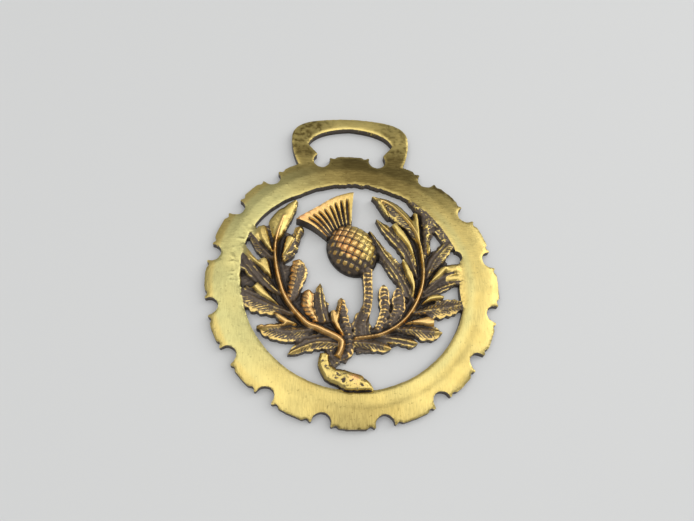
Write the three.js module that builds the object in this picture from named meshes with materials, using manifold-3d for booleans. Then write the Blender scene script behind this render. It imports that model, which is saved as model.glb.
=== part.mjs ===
import * as THREE from "three";
import { mergeVertices } from "three/addons/utils/BufferGeometryUtils.js";
import Module from "manifold-3d";

// A horse brass: a notched ring with a strap hanger, and a thistle between two leafy sprays inside
// the ring, all cast in one. Millimetres, +Z up, the face up and the flat back on z = 0, with +Y to
// the hanger. The origin is under the middle of the outline.

// Ring
const ringDiameter = 76;
const openingDiameter = 57.8;
const ringRimHeight = 1.9;
const openingRimHeight = 2.3;
const ringCrownHeight = 2.6;
const ringBevel = 1.7;
const notchRadius = 2.3;
const notchDepth = 3;
const nickRadius = 0.6;
const nickSpacing = 3.6;
const curlHoleRadius = 1.7;

// At the upper left the opening reaches further out, in an arc whose radius is a share of its own.
const openingEase = 1.3;
const easeShare = 0.8;
const easeBearing = 150;

// Bearings of the notches in degrees from +X; they were cut by eye, so their spacing varies.
const notchBearings = [
  10.6, 33, 55.9, 78.6, 102.6, 125.6, 146.2, 168.6, 191.5, 212.5, 233.6, 256.4, 280, 303.5, 325.1, 346.7,
];

// Strap hanger
const hangerRise = 12.5;
const hangerWidth = 33;
const hangerNeck = 27.4;
const hangerHeight = 2.3;
const hangerRounding = 0.5;
const slotWidth = 24;
const slotMouth = 18.4;
const slotRise = 9.3;

// Thistle
const bulbLength = 15.4;
const bulbWidth = 13;
const bulbHeight = 6.1;
const bulbLean = 30;
const studSize = 1.5;
const studProud = 0.45;
const studPitchAlong = 2;
const studPitchAcross = 2.2;
const studTurn = -25;
const studReach = 0.9;
const fanRibs = 9;
const fanHeight = 4;
const fanNeckHeight = 3.2;
const fanGroove = 0.8;

// Sprays
const webHeight = 1.3;
const leafEdgeHeight = 1.9;
const leafCrestHeight = 2.8;
const foldEdgeHeight = 2.55;
const foldHeight = 3.3;
const branchEdgeHeight = 2.65;
const branchHeight = 3.6;
const footHeight = 2.9;
const veinDepth = 0.45;
const veinPitch = 2;

// Facets
const ringSides = 64;
const notchSides = 12;
const nickSides = 5;
const eggSides = 14;
const leafSteps = 5;
const foldSteps = 3;
const branchSteps = 16;
const webSteps = 10;
const bridgeSteps = 2;
const footSteps = 7;

const ringRadius = ringDiameter / 2;
const openingRadius = openingDiameter / 2;
const easeRadius = easeShare * openingRadius;
const tall = 2 * (bulbHeight + ringCrownHeight);
const turn = Math.PI / 180;

// Plan places of the wreath are hundredths of the opening's radius, from the ring's centre.
const share = openingRadius / 100;

// A leaf's width along its midrib, as a share of its widest: at its root, where the widest place
// lies, and at its tip.
const pointed = { root: 0.4, widest: 0.5, tip: 0.08 };
const broad = { root: 0.7, widest: 0.45, tip: 0.1 };
const spoon = { root: 0.35, widest: 0.65, tip: 0.3 };
const blunt = { root: 0.3, widest: 0.7, tip: 0.75 };
const joined = { root: 0.2, widest: 0.8, tip: 0.7 };
const cord = { root: 1, widest: 0.4, tip: 0.45 };
const even = { root: 0.95, widest: 0.5, tip: 0.95 };
const flared = { root: 0.45, widest: 1, tip: 1 };

const leaf = (left, right, shape, ...path) => ({ left, right, shape, path });
const veinedLeaf = (...sizes) => ({ ...leaf(...sizes), veined: true });

// Each leaf has a width left and right of its midrib, which runs from the branch to the tip.
const leaves = [
  leaf(5.5, 10, broad, [-15.5, -59.5], [-34.5, -58.5], [-58.5, -68.5]),
  veinedLeaf(8.5, 7.5, pointed, [-36.5, -46.5], [-60.5, -48.5], [-85, -44.5]),
  veinedLeaf(10, 10, joined, [-53.5, -33], [-76, -24], [-99, -12.5]),
  leaf(10, 5, joined, [-65, -14.5], [-83, 3.5], [-102, 30]),
  leaf(4.5, 4, joined, [-72, 19.5], [-83.5, 30.5], [-94, 45.5]),
  leaf(6, 5, joined, [-84, 38], [-92, 50], [-101, 62]),
  leaf(9, 8, pointed, [-70, 36.5], [-67, 59], [-53, 80.5]),
  veinedLeaf(4, 5.5, joined, [-64, 18], [-56.5, 31], [-47.5, 53.5]),
  leaf(6.5, 8.5, blunt, [-57.5, -22.5], [-52.5, 0], [-49, 19.5]),
  veinedLeaf(5, 5, blunt, [-33, -40], [-41.5, -24], [-41, -9.5]),
  leaf(5.5, 6.5, broad, [-26.5, -40], [-30.5, -21], [-30.5, -2.5]),
  veinedLeaf(5, 4, broad, [-16, -72.5], [-7, -66.5], [-6, -52], [-10.5, -34.5], [-12, -16.5]),
  leaf(7, 8, broad, [5, -52.5], [5, -40], [10, -22.5]),
  veinedLeaf(4.5, 4, broad, [18.5, -47], [26, -27.5], [26.5, -3]),
  veinedLeaf(5, 6, pointed, [28.5, -42], [38, -27.5], [39, -6]),
  leaf(7.5, 7, pointed, [52.5, -19], [41, 7], [27.5, 28.5], [15.5, 50.5]),
  veinedLeaf(5, 7.5, pointed, [57.5, 3.5], [48.5, 29.5], [35.5, 47], [22, 63]),
  leaf(11, 5, pointed, [60, 38], [54, 59], [40, 75.5], [19, 86.5]),
  leaf(7, 13, joined, [65.5, 22.5], [68, 45], [71.5, 72.5]),
  leaf(3, 4.5, spoon, [68, 69], [60, 79], [52.5, 88.5]),
  leaf(6, 6.5, joined, [66, 3.5], [74.5, 21], [90.5, 39]),
  leaf(3, 4, joined, [61.5, -11], [76, 1.5], [92, 11]),
  leaf(4.5, 3.5, joined, [59, -16], [78, -5.5], [99.5, 2]),
  veinedLeaf(7.5, 8.5, joined, [50, -30.5], [71, -26.5], [96, -22]),
  veinedLeaf(6, 7.5, spoon, [33, -45.5], [53.5, -46.5], [76, -48]),
  leaf(3.5, 5, spoon, [15.5, -52], [34.5, -54], [53.5, -58]),
  leaf(5, 5.5, spoon, [-3, -58], [14, -59], [30, -63]),
];

// Solid places where leaves run together or into the ring.
const bridges = [
  leaf(4, 4, even, [-73, 32], [-77, 44], [-80, 53]),
  leaf(3.5, 3.5, even, [83, 4.5], [100.5, 6]),
  leaf(3.5, 3.5, even, [100, -23], [98.5, -8.5], [100, 4]),
  leaf(6.5, 4, even, [93, 39], [81.5, 58]),
];

// Thin metal left between leaves.
const webs = [
  leaf(4.5, 4.5, even, [-68.5, 10], [-64, 34.5], [-61, 48]),
  leaf(7.5, 6.5, even, [-67.5, -14], [-85, -3.5], [-101.5, 1]),
  leaf(4.5, 4.5, even, [-65.5, -12], [-61.5, 3.5], [-59.5, 15]),
  leaf(4, 4, even, [-52, -29], [-49.5, -19], [-48, -11]),
  leaf(3.5, 3.5, even, [58, 27.5], [51, 45], [41.5, 56]),
  leaf(4, 4, even, [64, 30], [65, 52], [63.5, 70]),
  leaf(4, 4, even, [66, 1.5], [77, 14], [84, 23]),
  leaf(3, 3, even, [53.5, -24], [73, -20]),
  leaf(3, 3, even, [44, -35.5], [64, -32.5]),
  leaf(3.5, 3.5, even, [31, -48.5], [51, -53]),
  leaf(3, 3, even, [26, -43.5], [31.5, -22]),
];

// Raised folds of the leaves, where the metal is rubbed bright.
const folds = [
  leaf(3, 3, pointed, [-50.5, -42.5], [-61, -38.5], [-70, -32]),
  leaf(4, 2.5, pointed, [-67, -24.5], [-77, -16], [-88, -5.5]),
  leaf(5.5, 3.5, joined, [-73.5, 1], [-77.5, 10], [-81, 19]),
  leaf(4.5, 4, joined, [-73.5, 26.5], [-79, 37], [-84, 51.5]),
  leaf(3, 3, joined, [-64.5, 21.5], [-60.5, 31], [-56.5, 42]),
  leaf(3.5, 2, joined, [-11.5, -50], [-17, -40.5], [-19.5, -29.5]),
  leaf(3, 2, pointed, [51.5, -15], [52.5, -1], [45, 20.5]),
  leaf(4, 2, joined, [57, 15.5], [51, 38], [38.5, 57]),
  leaf(3, 2.5, joined, [62, 32], [60.5, 51], [59.5, 69]),
  leaf(3.5, 3, pointed, [67.5, -2], [76, 6], [84, 15]),
  leaf(4, 1.5, pointed, [59.5, -21.5], [69, -17], [79.5, -15]),
  leaf(6, 3, joined, [43.5, -40.5], [55, -39], [68.5, -39.5]),
];

// The two branches, with the half widths of their bark and of the web under it, the thistle's stem,
// the cut stub at the foot, and the curl on the ring.
const leftBranch = [
  [-16.5, -71], [-13, -63], [-14, -55], [-31.5, -45.5], [-44, -39.5], [-61.5, -16.5], [-70, 15.5],
  [-70, 40], [-63.5, 64],
];
const rightBranch = [
  [-1.5, -54.5], [24, -49.5], [45.5, -34], [59.5, -8.5], [63, 19], [57.5, 50.5], [39.5, 74.5],
  [26.5, 82.5],
];
const outerWebWidth = 12;
const innerWebWidth = 9;
const branchWidth = 2.4;
const stem = veinedLeaf(4.5, 4.5, even, [7.5, 18], [12, -5], [11.5, -19], [8.5, -33], [2.5, -45]);
const stubPath = [[-27, -68], [-27.5, -76.5], [-22, -85.5], [-10.5, -89.5], [0.5, -95.5], [4, -103.5]];
const stub = leaf(9, 9, flared, ...stubPath);
const tie = leaf(4, 4, even, [-22, -63], [-21, -70], [-16, -77]);
const curl = leaf(8.5, 7.5, flared, [83.5, 13], [95, 13.5], [107.5, 11]);
const curlHole = [94.5, 26];

// The thistle: the middle of its bulb, and the outline of the fan of petals above it.
const bulbMiddle = [-0.7, 31.5];
const fanNeck = [[-24.5, 42], [-1.5, 53.5]];
const fanLeft = [[-24.5, 42], [-34, 50], [-42, 55], [-52.5, 59]];
const fanRight = [[-1.5, 53.5], [-1, 67], [0, 78], [1, 88]];
const fanTop = [[-52.5, 59], [-35, 70], [-18, 81.5], [-5, 86.5], [1, 88]];

const wasm = await Module();
wasm.setup();

// A closed geometry as a solid that can be joined and cut.
function solid(geometry) {
  geometry.deleteAttribute("normal");
  geometry.deleteAttribute("uv");
  const merged = mergeVertices(geometry);
  const mesh = new wasm.Mesh({
    numProp: 3,
    vertProperties: merged.getAttribute("position").array,
    triVerts: new Uint32Array(merged.index.array),
  });
  return new wasm.Manifold(mesh);
}

const join = (solids) => solids.reduce((whole, next) => whole.add(next));

// What lies under z = 0, to cut rounded pieces off flat.
function below() {
  return solid(new THREE.BoxGeometry(4 * ringDiameter, 4 * ringDiameter, tall).translate(0, 0, -tall / 2));
}

const onPlan = ([x, y]) => new THREE.Vector2(x * share, y * share);
const curveThrough = (points) => new THREE.SplineCurve(points.map(onPlan));

// The share of a leaf's greatest width at a share of its length.
function widthShare(shape, along) {
  if (along < shape.widest) {
    return shape.root + (1 - shape.root) * Math.sin((along / shape.widest) * (Math.PI / 2));
  }
  const past = (along - shape.widest) / Math.max(1 - shape.widest, 1e-6);
  return shape.tip + (1 - shape.tip) * Math.cos(past * (Math.PI / 2));
}

// Metal along a path: a flat foot, an edge on each side, and a crest over the path. Veins are
// grooves across the crest.
function blade({ path, left, right, shape, veined = false }, edge, crest, steps) {
  const curve = curveThrough(path);
  const veins = veined ? Math.round(curve.getLength() / veinPitch) : 0;
  const stations = veined ? 2 * veins : steps;
  const section = [[left, 0], [left, edge], [0, crest], [-right, edge], [-right, 0]];
  const corners = section.length;
  const position = [];
  const index = [];
  for (let i = 0; i <= stations; i++) {
    const along = i / stations;
    const middle = curve.getPointAt(along);
    const ahead = curve.getTangentAt(along);
    const aside = new THREE.Vector2(-ahead.y, ahead.x);
    const width = widthShare(shape, along) * share;
    const drop = veined && i % 2 === 1 ? veinDepth : 0;
    for (const [offset, height] of section) {
      const place = middle.clone().addScaledVector(aside, offset * width);
      position.push(place.x, place.y, Math.max(height - drop, 0));
    }
  }
  for (let i = 0; i < stations; i++) {
    for (let k = 0; k < corners; k++) {
      const here = i * corners + k;
      const beside = i * corners + ((k + 1) % corners);
      index.push(here, beside, here + corners);
      index.push(beside, beside + corners, here + corners);
    }
  }
  const last = stations * corners;
  for (let k = 1; k < corners - 1; k++) {
    index.push(0, k + 1, k);
    index.push(last, last + k, last + k + 1);
  }
  const geometry = new THREE.BufferGeometry();
  geometry.setAttribute("position", new THREE.Float32BufferAttribute(position, 3));
  geometry.setIndex(index);
  return solid(geometry);
}

// The ring's band, softly domed, with a bevel at its outer edge.
function ringBand() {
  const crown = (ringRadius + openingRadius) / 2;
  const profile = [
    [openingRadius, 0],
    [ringRadius, 0],
    [ringRadius, ringRimHeight],
    [ringRadius - ringBevel, (ringRimHeight + 2 * ringCrownHeight) / 3],
    [crown, ringCrownHeight],
    [openingRadius, openingRimHeight],
    [openingRadius, 0],
  ];
  const points = profile.map(([radius, height]) => new THREE.Vector2(radius, height));
  return solid(new THREE.LatheGeometry(points, ringSides).rotateX(Math.PI / 2));
}

function upright(radius, sides, distance, angle) {
  const rod = new THREE.CylinderGeometry(radius, radius, tall, sides).rotateX(Math.PI / 2);
  return solid(rod.translate(distance * Math.cos(angle), distance * Math.sin(angle), 0));
}

// A round bite at each notch with a small nick on each side, the round hole that the curl closes, and
// the opening's arc at the upper left.
function notches() {
  const hole = onPlan(curlHole);
  const cutters = [upright(curlHoleRadius, notchSides, hole.length(), hole.angle())];
  const easeDistance = openingRadius + openingEase - easeRadius;
  cutters.push(upright(easeRadius, ringSides, easeDistance, easeBearing * turn));
  for (const bearing of notchBearings) {
    const angle = bearing * turn;
    cutters.push(upright(notchRadius, notchSides, ringRadius - notchDepth + notchRadius, angle));
    for (const side of [-1, 1]) {
      const nickAngle = angle + (side * nickSpacing) / ringRadius;
      cutters.push(upright(nickRadius, nickSides, ringRadius, nickAngle));
    }
  }
  return join(cutters);
}

// The strap hanger: a flat loop whose slot is closed below by the ring's own edge.
function hanger() {
  const top = ringRadius + hangerRise;
  const root = ringRadius - (ringRadius - openingRadius) / 2;
  const wide = hangerWidth / 2;
  const neck = hangerNeck / 2;
  const outline = new THREE.Shape();
  outline.moveTo(neck, root);
  outline.quadraticCurveTo(wide, ringRadius, wide, ringRadius + 0.45 * hangerRise);
  outline.quadraticCurveTo(wide, top - 0.22 * hangerRise, 0.7 * wide, top - 0.1 * hangerRise);
  outline.quadraticCurveTo(0.4 * wide, top, 0, top);
  outline.quadraticCurveTo(-0.4 * wide, top, -0.7 * wide, top - 0.1 * hangerRise);
  outline.quadraticCurveTo(-wide, top - 0.22 * hangerRise, -wide, ringRadius + 0.45 * hangerRise);
  outline.quadraticCurveTo(-wide, ringRadius, -neck, root);
  const depth = hangerHeight - hangerRounding;
  const rounding = {
    depth,
    bevelThickness: hangerRounding,
    bevelSize: hangerRounding,
    bevelOffset: -hangerRounding,
    bevelSegments: 1,
    curveSegments: 5,
  };
  const plate = solid(new THREE.ExtrudeGeometry(outline, rounding));
  const slotTop = ringRadius + slotRise;
  const point = slotWidth / 2;
  const mouth = slotMouth / 2;
  const slot = new THREE.Shape();
  slot.moveTo(mouth, root - 1);
  slot.lineTo(mouth, ringRadius + 0.05 * slotRise);
  slot.lineTo(point, ringRadius + 0.4 * slotRise);
  slot.quadraticCurveTo(0.85 * point, slotTop - 0.08 * slotRise, 0, slotTop);
  slot.quadraticCurveTo(-0.85 * point, slotTop - 0.08 * slotRise, -point, ringRadius + 0.4 * slotRise);
  slot.lineTo(-mouth, ringRadius + 0.05 * slotRise);
  slot.lineTo(-mouth, root - 1);
  const hole = new THREE.ExtrudeGeometry(slot, { depth: tall, bevelEnabled: false, curveSegments: 6 });
  return plate.subtract(below()).subtract(solid(hole.translate(0, 0, -tall / 2)));
}

// The thistle's bulb: half an egg lying on the back, set all over with rows of square studs.
function bulb() {
  const middle = onPlan(bulbMiddle);
  const half = new THREE.Vector3(bulbWidth / 2, bulbLength / 2, bulbHeight - studProud);
  const lean = new THREE.Matrix4().makeRotationZ(bulbLean * turn).setPosition(middle.x, middle.y, 0);
  const egg = new THREE.SphereGeometry(1, eggSides, eggSides / 2).rotateX(Math.PI / 2);
  const pieces = [solid(egg.scale(half.x, half.y, half.z).applyMatrix4(lean))];
  const rows = Math.ceil(bulbLength / studPitchAlong / 2);
  const along = new THREE.Vector2(Math.cos(studTurn * turn), Math.sin(studTurn * turn));
  const across = new THREE.Vector2(-along.y, along.x);
  for (let i = -rows; i <= rows; i++) {
    for (let j = -rows; j <= rows; j++) {
      const spot = middle.clone();
      spot.addScaledVector(along, i * studPitchAlong).addScaledVector(across, j * studPitchAcross);
      const stand = standOnEgg(spot, half, lean, across);
      if (!stand) continue;
      const stud = new THREE.BoxGeometry(studSize, studSize, 2 * studProud);
      pieces.push(solid(stud.applyMatrix4(stand)));
    }
  }
  return join(pieces).subtract(below());
}

// Where a stud stands on the egg above a spot on the plan, or nothing past the egg's steep rim.
function standOnEgg(spot, half, lean, across) {
  const local = new THREE.Vector3(spot.x, spot.y, 0).applyMatrix4(lean.clone().invert());
  const reach = Math.hypot(local.x / half.x, local.y / half.y);
  if (reach > studReach) return null;
  local.z = half.z * Math.sqrt(1 - reach * reach);
  const out = local.clone().divide(half).divide(half).transformDirection(lean);
  const side = new THREE.Vector3(across.x, across.y, 0).cross(out).normalize();
  const stand = new THREE.Matrix4().makeBasis(side, out.clone().cross(side), out);
  return stand.setPosition(spot.x, spot.y, local.z);
}

// The petals: a fan that opens from the bulb's neck, with ribs that fade out at its smooth top band.
function fan() {
  const [leftEdge, rightEdge, topEdge, neckEdge] = [fanLeft, fanRight, fanTop, fanNeck].map(curveThrough);
  const columns = 2 * fanRibs;
  const bands = [0, 0.3, 0.6, 0.85, 1];
  const rows = bands.length;
  const position = [];
  const index = [];
  const blend = (a, b, t) => a.clone().lerp(b, t);
  for (const up of bands) {
    for (let i = 0; i <= columns; i++) {
      const u = i / columns;
      const sides = blend(leftEdge.getPointAt(up), rightEdge.getPointAt(up), u);
      const ends = blend(neckEdge.getPointAt(u), topEdge.getPointAt(u), up);
      const neckLine = blend(neckEdge.getPointAt(0), neckEdge.getPointAt(1), u);
      const topLine = blend(topEdge.getPointAt(0), topEdge.getPointAt(1), u);
      const place = sides.add(ends).sub(blend(neckLine, topLine, up));
      const groove = i % 2 === 0 && up < 1 ? fanGroove : 0;
      const height = THREE.MathUtils.lerp(fanNeckHeight, fanHeight, up) - groove;
      position.push(place.x, place.y, height);
    }
  }
  const top = position.length / 3;
  for (let i = 0; i < top; i++) position.push(position[3 * i], position[3 * i + 1], 0);
  const at = (row, column) => row * (columns + 1) + column;
  for (let row = 0; row < rows - 1; row++) {
    for (let i = 0; i < columns; i++) {
      const [a, b, c, d] = [at(row, i), at(row, i + 1), at(row + 1, i + 1), at(row + 1, i)];
      index.push(a, b, c, a, c, d);
      index.push(top + a, top + c, top + b, top + a, top + d, top + c);
    }
  }
  const border = [];
  for (let i = 0; i < columns; i++) border.push(at(0, i));
  for (let row = 0; row < rows - 1; row++) border.push(at(row, columns));
  for (let i = columns; i > 0; i--) border.push(at(rows - 1, i));
  for (let row = rows - 1; row > 0; row--) border.push(at(row, 0));
  border.forEach((here, i) => {
    const next = border[(i + 1) % border.length];
    index.push(top + here, top + next, next, top + here, next, here);
  });
  const geometry = new THREE.BufferGeometry();
  geometry.setAttribute("position", new THREE.Float32BufferAttribute(position, 3));
  geometry.setIndex(index);
  return solid(geometry);
}

// Leaves, folds, branches and the stub, with a thin web of metal along each branch.
function sprays() {
  const pieces = leaves.map((one) => blade(one, leafEdgeHeight, leafCrestHeight, leafSteps));
  pieces.push(...folds.map((one) => blade(one, foldEdgeHeight, foldHeight, foldSteps)));
  pieces.push(...bridges.map((one) => blade(one, openingRimHeight, ringCrownHeight, bridgeSteps)));
  pieces.push(...webs.map((one) => blade(one, webHeight, webHeight, bridgeSteps)));
  const branchWebs = [
    leaf(outerWebWidth, innerWebWidth, cord, ...leftBranch),
    leaf(innerWebWidth, outerWebWidth, cord, ...rightBranch),
  ];
  pieces.push(...branchWebs.map((one) => blade(one, webHeight, webHeight, webSteps)));
  for (const path of [leftBranch, rightBranch]) {
    const bark = leaf(branchWidth, branchWidth, cord, ...path);
    pieces.push(blade(bark, branchEdgeHeight, branchHeight, branchSteps));
  }
  pieces.push(blade(stem, branchEdgeHeight, branchHeight, footSteps));
  pieces.push(...[stub, tie, curl].map((one) => blade(one, leafEdgeHeight, footHeight, footSteps)));
  return join(pieces);
}

// Wraps a solid as a mesh whose faces keep their own shade.
function meshOf(made, name, material) {
  const { vertProperties, triVerts } = made.getMesh();
  const geometry = new THREE.BufferGeometry();
  geometry.setAttribute("position", new THREE.BufferAttribute(vertProperties, 3));
  geometry.setIndex(new THREE.BufferAttribute(triVerts, 1));
  const mesh = new THREE.Mesh(geometry, material);
  mesh.name = name;
  return mesh;
}

const brass = new THREE.MeshStandardMaterial({
  color: 0xc9ae5e,
  roughness: 0.35,
  metalness: 1,
  flatShading: true,
});

const ring = ringBand().subtract(notches());
const horseBrass = meshOf(join([ring, hanger(), sprays(), fan(), bulb()]), "horse_brass", brass);
horseBrass.position.y = -hangerRise / 2;

const part = new THREE.Group();
part.add(horseBrass);

export default part;
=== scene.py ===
import math

import bpy
import numpy as np
from mathutils import Matrix, Vector


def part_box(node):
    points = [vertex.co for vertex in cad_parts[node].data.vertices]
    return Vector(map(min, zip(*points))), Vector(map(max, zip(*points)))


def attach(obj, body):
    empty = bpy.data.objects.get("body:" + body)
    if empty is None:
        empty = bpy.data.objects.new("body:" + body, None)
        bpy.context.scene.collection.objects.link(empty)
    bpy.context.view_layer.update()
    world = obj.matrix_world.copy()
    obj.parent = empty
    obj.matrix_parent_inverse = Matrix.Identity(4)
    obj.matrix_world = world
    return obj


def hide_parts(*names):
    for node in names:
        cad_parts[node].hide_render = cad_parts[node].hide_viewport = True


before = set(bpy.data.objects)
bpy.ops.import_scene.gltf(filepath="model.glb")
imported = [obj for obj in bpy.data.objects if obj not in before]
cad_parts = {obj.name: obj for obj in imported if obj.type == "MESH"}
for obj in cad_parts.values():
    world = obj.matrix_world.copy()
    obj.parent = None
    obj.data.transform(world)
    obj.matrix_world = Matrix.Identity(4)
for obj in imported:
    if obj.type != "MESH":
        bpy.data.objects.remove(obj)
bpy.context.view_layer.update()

# Sizes are in millimetres from the ring's centre, on the flat back, until a mesh is made.
MM = 0.001
LOW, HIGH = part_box("horse_brass")
RING_RADIUS = (HIGH.x - LOW.x) / 2 / MM
RING_MIDDLE_Y = LOW.y / MM + RING_RADIUS
HANGER_RISE = (HIGH.y - LOW.y) / MM - 2 * RING_RADIUS
BULB_HEIGHT = HIGH.z / MM

OPENING_RADIUS = 28.9
RING_RIM_HEIGHT = 1.9
OPENING_RIM_HEIGHT = 2.3
RING_CROWN_HEIGHT = 2.6
RING_BEVEL = 1.7
NOTCH_BEARINGS = [
    10.6, 33, 55.9, 78.6, 102.6, 125.6, 146.2, 168.6, 191.5, 212.5, 233.6, 256.4, 280, 303.5, 325.1, 346.7,
]
NOTCH_RADIUS = 2.3
NOTCH_DEPTH = 3.0
NOTCH_DISTANCE = RING_RADIUS - NOTCH_DEPTH + NOTCH_RADIUS
NICK_RADIUS = 0.6
NICK_SPACING = 3.6
NICK_TURN = math.degrees(NICK_SPACING / RING_RADIUS)
CURL_HOLE = (94.5, 26)
CURL_HOLE_RADIUS = 1.7
OPENING_EASE = 1.3
EASE_RADIUS = 0.8 * OPENING_RADIUS
EASE_BEARING = math.radians(150)

HANGER_WIDTH = 33.0
HANGER_NECK = 27.4
HANGER_HEIGHT = 2.3
SLOT_WIDTH = 24.0
SLOT_MOUTH = 18.4
SLOT_RISE = 9.3

BULB_LENGTH = 15.4
BULB_WIDTH = 13.0
BULB_LEAN = math.radians(30)
STUD_PROUD = 0.45
STUD_PITCH = (1.85, 2.0)
STUD_TURN = math.radians(-25)
# Where a stud's side and its bright core start and end, as shares of the pitch from its middle. The core's
# brightness on studs that are not rubbed is a painted highlight.
STUD_SIDE = (0.47, 0.38)
STUD_CORE = (0.34, 0.16)
STUD_GAP = 0.4
FAN_RIBS = 9
FAN_HEIGHT = 4.0
FAN_NECK_HEIGHT = 3.2
FAN_GROOVE = 0.9
FAN_GROOVE_END = 0.88

WEB_HEIGHT = 1.3
WEB_SWELL = 0.2
ROUGH_DROP = 0.3
LEAF_EDGE_HEIGHT = 1.9
LEAF_CREST_HEIGHT = 2.8
FOLD_EDGE_HEIGHT = 2.55
FOLD_HEIGHT = 3.3
BRANCH_EDGE_HEIGHT = 2.65
BRANCH_HEIGHT = 3.6
FOOT_HEIGHT = 2.9
LEAST_HEIGHT = 0.9
FILLET = 0.5
CRACK = 0.3
TIP_ROUND = 0.8

# How far in from an edge its rounding starts.
RING_ROUNDING = 0.45
HANGER_ROUNDING = 0.5
LEAF_ROUNDING = 0.35
CORD_ROUNDING = 0.3
BULB_ROUNDING = 0.2
FAN_ROUNDING = 0.25

# How full the section is: it is nearly flat between its edges where this is high.
LEAF_FULLNESS = 1.4
SMOOTH_LEAF_FULLNESS = 3
CORD_FULLNESS = 5

# How deep leaf and cord edges are ragged, as a share of the width, and how deep the ring's edges are.
LEAF_RAGGED = 0.14
CORD_RAGGED = 0.05
RING_RAGGED = 0.3
LOBE_PITCH = 2.3

# Distances from one vein, rib, rung, flute or line to the next, and depths of the carving.
VEIN_PITCH = 0.95
FAINT_PITCH = 1.2
FINE_PITCH = 0.9
RIB_PITCH = 1.15
RUNG_PITCH = 1.2
FLUTE_PITCH = 1.1
LINE_PITCH = 0.85
VEIN_DEPTH = 0.36
RIB_DEPTH = 0.35
RUNG_TROUGH = 0.65
RIM_RISE = 0.12

# Plan places of the wreath are hundredths of the opening's radius; widths are millimetres.
SHARE = OPENING_RADIUS / 100
# Leaves whose midrib ends farther out than this run into the ring.
RING_MEETS = 94

# How the upright walls and the back look, where the relief tells only the face. Their high hollow and
# tarnish shares are painted shade on the walls, over their unpolished patina.
WALL_LOOKS = {"shine": 0.6, "copper": 0.0, "hollow": 0.8, "tarnish": 0.6}

# How the relief is sampled, and how many triangles it may keep.
STEP = 0.15
MOST_TRIANGLES = 192000
SEED = 7
FAR = 9.0
# How often cells that touch at a corner alone are joined, since that can make new ones.
CORNER_ROUNDS = 4

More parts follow.
